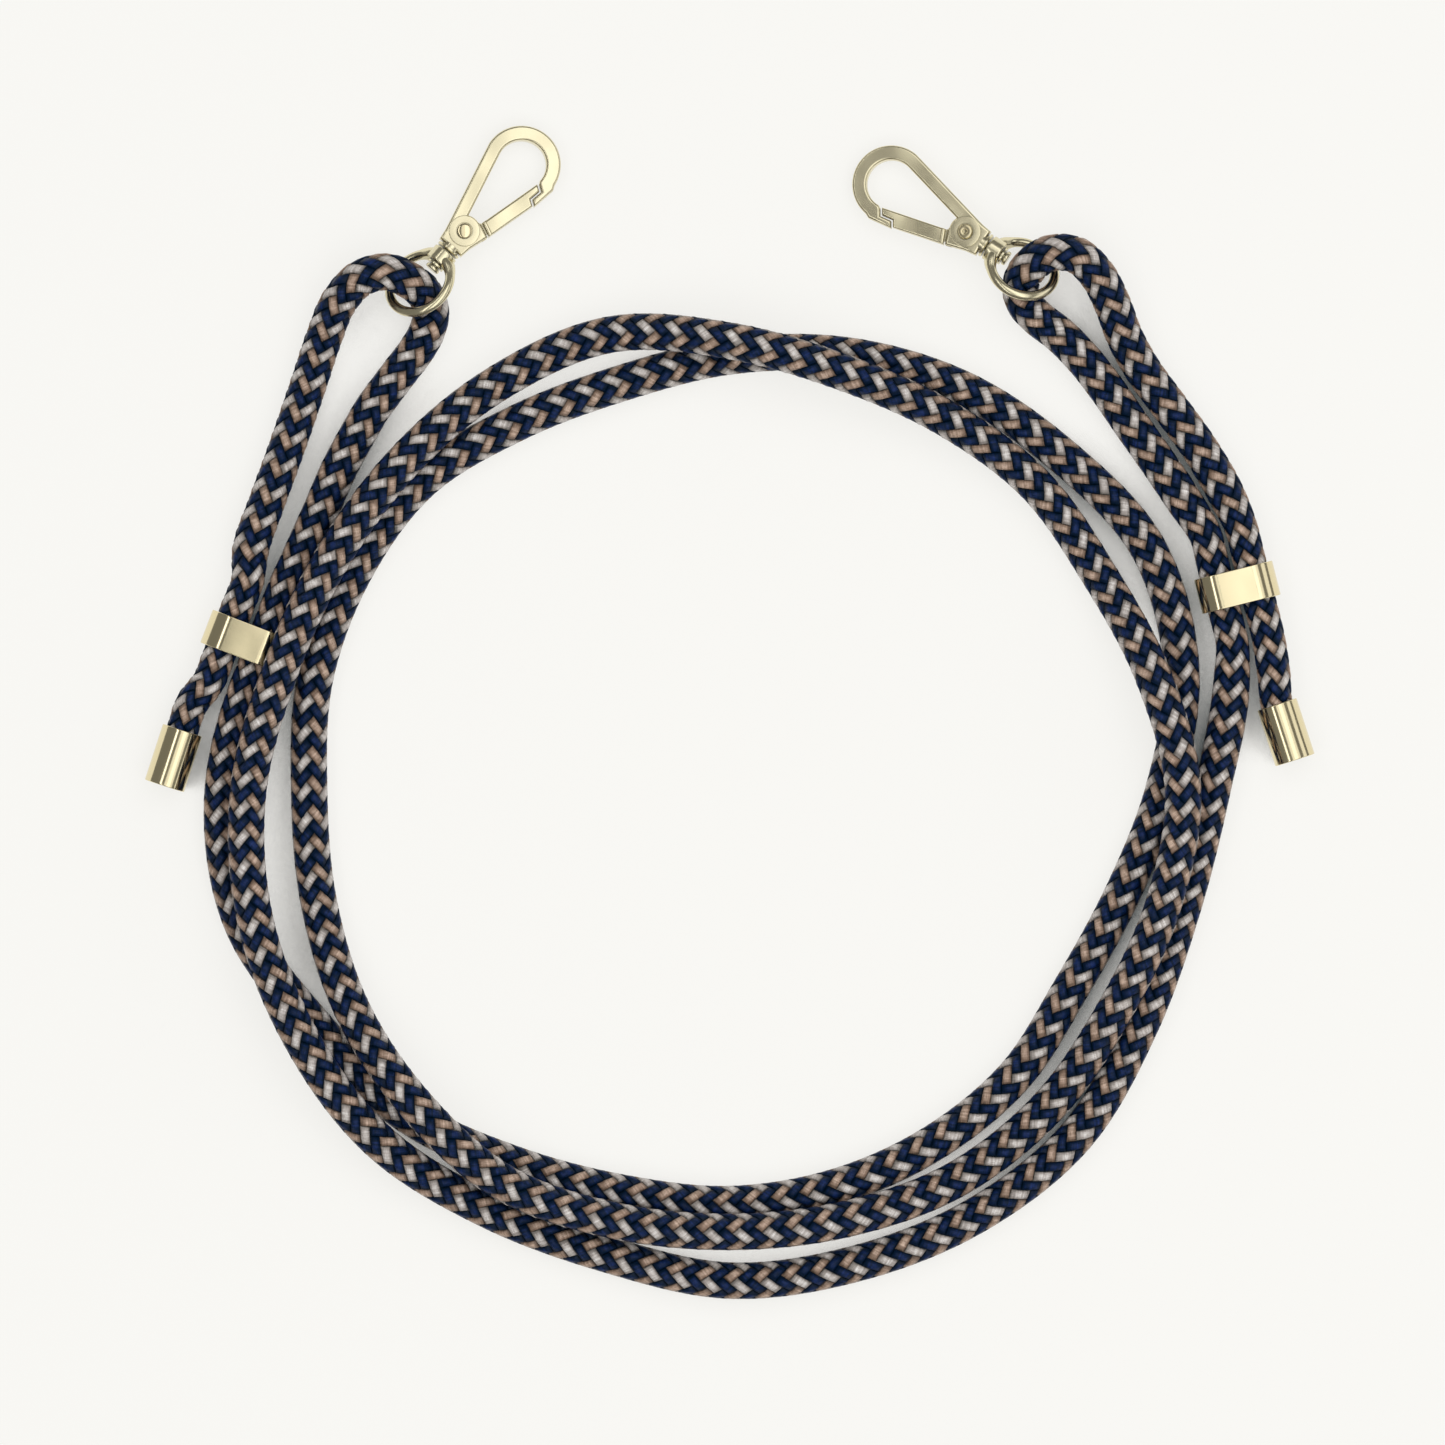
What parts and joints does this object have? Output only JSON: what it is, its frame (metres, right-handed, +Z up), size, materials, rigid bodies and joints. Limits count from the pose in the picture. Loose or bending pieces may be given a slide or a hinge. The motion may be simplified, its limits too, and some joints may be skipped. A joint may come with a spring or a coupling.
{
  "type": "lead rope",
  "caption": "Long braided rope lead lying in loose turns, with a swivel snap hook, a sliding band and a metal end cap at each end, each end folded back through its ring.",
  "frame": {"origin": "on the table, midway between the outermost metal parts (the two end caps across, the left hook's tip and the left cap along)", "axes": "+Z up from the table; +X from the left end cap to the right end cap, the longest extent of the metal parts; +Y from the coil towards the hooks"},
  "size_m": [0.2488, 0.25, 0.0158],
  "materials": {
    "braided_rope": "navy filament yarn braided with thinner cream and rose-beige strands, satin",
    "pale_brass": "pale satin gold plating, softly brushed",
    "spring_steel": "bright spring steel, hidden inside the hook's housing"
  },
  "bodies": {
    "lead": {"rope_coil": "braided_rope", "rope_left_arm": "braided_rope", "rope_right_arm": "braided_rope", "left_end_cap": "pale_brass", "right_end_cap": "pale_brass"},
    "left_slider": {"left_slider": "pale_brass"},
    "left_ring": {"left_swivel_ring": "pale_brass", "left_swivel_washer": "pale_brass"},
    "left_hook": {"left_hook_body": "pale_brass", "left_swivel_post": "pale_brass", "left_gate_rivet": "pale_brass", "left_gate_spring": "spring_steel"},
    "left_gate": {"left_hook_gate": "pale_brass"},
    "right_slider": {"right_slider": "pale_brass"},
    "right_ring": {"right_swivel_ring": "pale_brass", "right_swivel_washer": "pale_brass"},
    "right_hook": {"right_hook_body": "pale_brass", "right_swivel_post": "pale_brass", "right_gate_rivet": "pale_brass", "right_gate_spring": "spring_steel"},
    "right_gate": {"right_hook_gate": "pale_brass"}
  },
  "joints": [
    {"name": "left_slider_slide", "type": "slide", "parent": "lead", "child": "left_slider", "axis": [0.3584, 0.9336, 0], "range_m": [-0.005, 0.008]},
    {"name": "left_ring_swing", "type": "hinge", "parent": "lead", "child": "left_ring", "pos_m": [-0.0663, 0.03643, 0.00722], "axis": [0.6921, -0.608, -0.389], "range_deg": [0, 12]},
    {"name": "left_hook_swivel", "type": "hinge", "parent": "left_ring", "child": "left_hook", "pos_m": [-0.06595, 0.03727, 0.0069], "axis": [0.6446, 0.7547, -0.1219], "continuous": true},
    {"name": "left_gate_hinge", "type": "hinge", "parent": "left_hook", "child": "left_gate", "pos_m": [-0.0566, 0.04821, 0.00513], "axis": [0.0791, 0.0927, 0.9925], "range_deg": [0, 25], "stiffness_Nm_per_rad": 0.01, "springref_deg": -28.65},
    {"name": "right_slider_slide", "type": "slide", "parent": "lead", "child": "right_slider", "axis": [-0.2419, 0.9703, 0], "range_m": [-0.005, 0.008]},
    {"name": "right_ring_swing", "type": "hinge", "parent": "lead", "child": "right_ring", "pos_m": [0.06272, 0.03941, 0.00739], "axis": [0.4685, 0.7811, 0.4127], "range_deg": [0, 12]},
    {"name": "right_hook_swivel", "type": "hinge", "parent": "right_ring", "child": "right_hook", "pos_m": [0.06235, 0.04027, 0.0069], "axis": [-0.8324, 0.5406, -0.1219], "continuous": true},
    {"name": "right_gate_hinge", "type": "hinge", "parent": "right_hook", "child": "right_gate", "pos_m": [0.05028, 0.04811, 0.00513], "axis": [0.1022, -0.0664, -0.9925], "range_deg": [0, 25], "stiffness_Nm_per_rad": 0.01, "springref_deg": -28.65}
  ]
}
